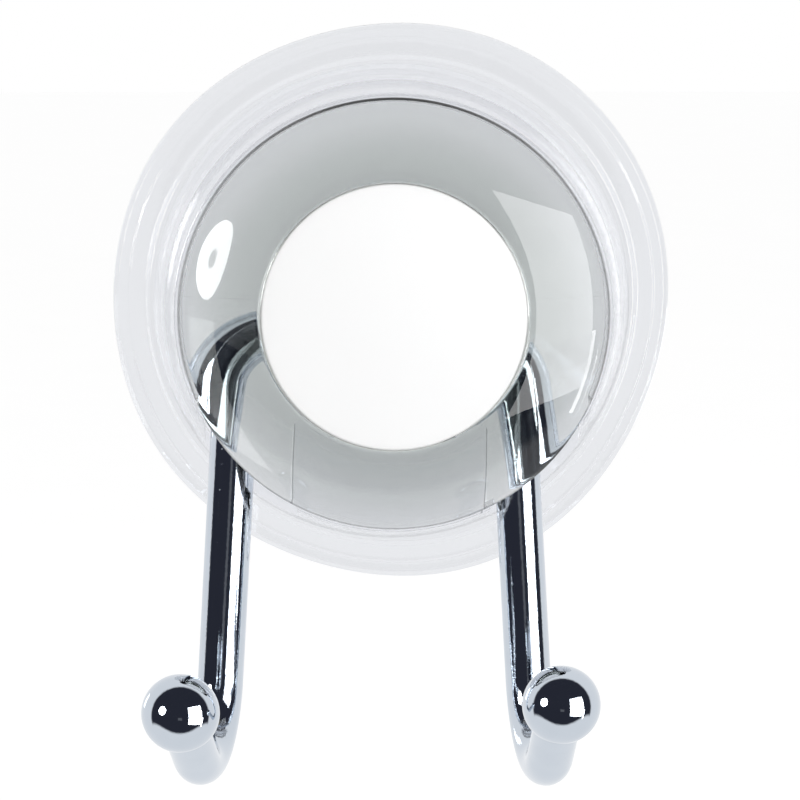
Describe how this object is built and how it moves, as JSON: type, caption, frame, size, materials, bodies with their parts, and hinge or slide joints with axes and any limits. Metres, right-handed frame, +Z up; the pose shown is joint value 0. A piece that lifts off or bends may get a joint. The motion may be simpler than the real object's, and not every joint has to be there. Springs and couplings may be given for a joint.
{
  "type": "double suction hook",
  "caption": "Wall hook on a suction cup: ball-tipped wire hooks on a slotted plate, held in a clear ring holder and locked by a clear twist dome with a plain white centre.",
  "frame": {"origin": "on the cup's axis, in the plane of the wall", "axes": "+Z up as it hangs, +Y into the wall, so the front faces -Y, +X to the right seen from the front"},
  "size_m": [0.074, 0.044, 0.0985],
  "materials": {
    "vinyl": "glossy clear soft vinyl, faintly blue, with small bubbles",
    "clear_plastic": "clear, polished outside",
    "acrylic": "clear with a smoky grey-green cast, polished",
    "white_plastic": "plain white, smooth",
    "nylon": "natural white, matt",
    "chrome": "bright mirror plating",
    "zinc": "dull zinc plating",
    "brass": "machined"
  },
  "bodies": {
    "cup": {"suction_cup": "vinyl"},
    "stud": {"anchor_stud": "zinc", "stud_clip": "zinc"},
    "bracket": {"bracket_holder": "clear_plastic", "eye_plate": "chrome", "left_hook_rod": "chrome", "right_hook_rod": "chrome", "left_ball_tip": "chrome", "right_ball_tip": "chrome", "thrust_washer": "nylon"},
    "dome": {"lock_dome": "acrylic", "threaded_insert": "brass", "centre_cap": "white_plastic"}
  },
  "joints": [
    {"name": "dome_twist", "type": "hinge", "parent": "cup", "child": "dome", "pos_m": [0, 0, 0], "axis": [0, 1, 0], "range_deg": [0, 540]},
    {"name": "stud_pull", "type": "slide", "parent": "cup", "child": "stud", "axis": [0, -1, 0], "range_m": [0, 0.0015], "deforming": ["suction_cup"]},
    {"name": "bracket_turn", "type": "hinge", "parent": "cup", "child": "bracket", "pos_m": [0, 0, 0], "axis": [0, 1, 0], "continuous": true}
  ],
  "couplings": [
    {"joint": "stud_pull", "follows": "dome_twist", "m_per_rad": 0.000159}
  ]
}
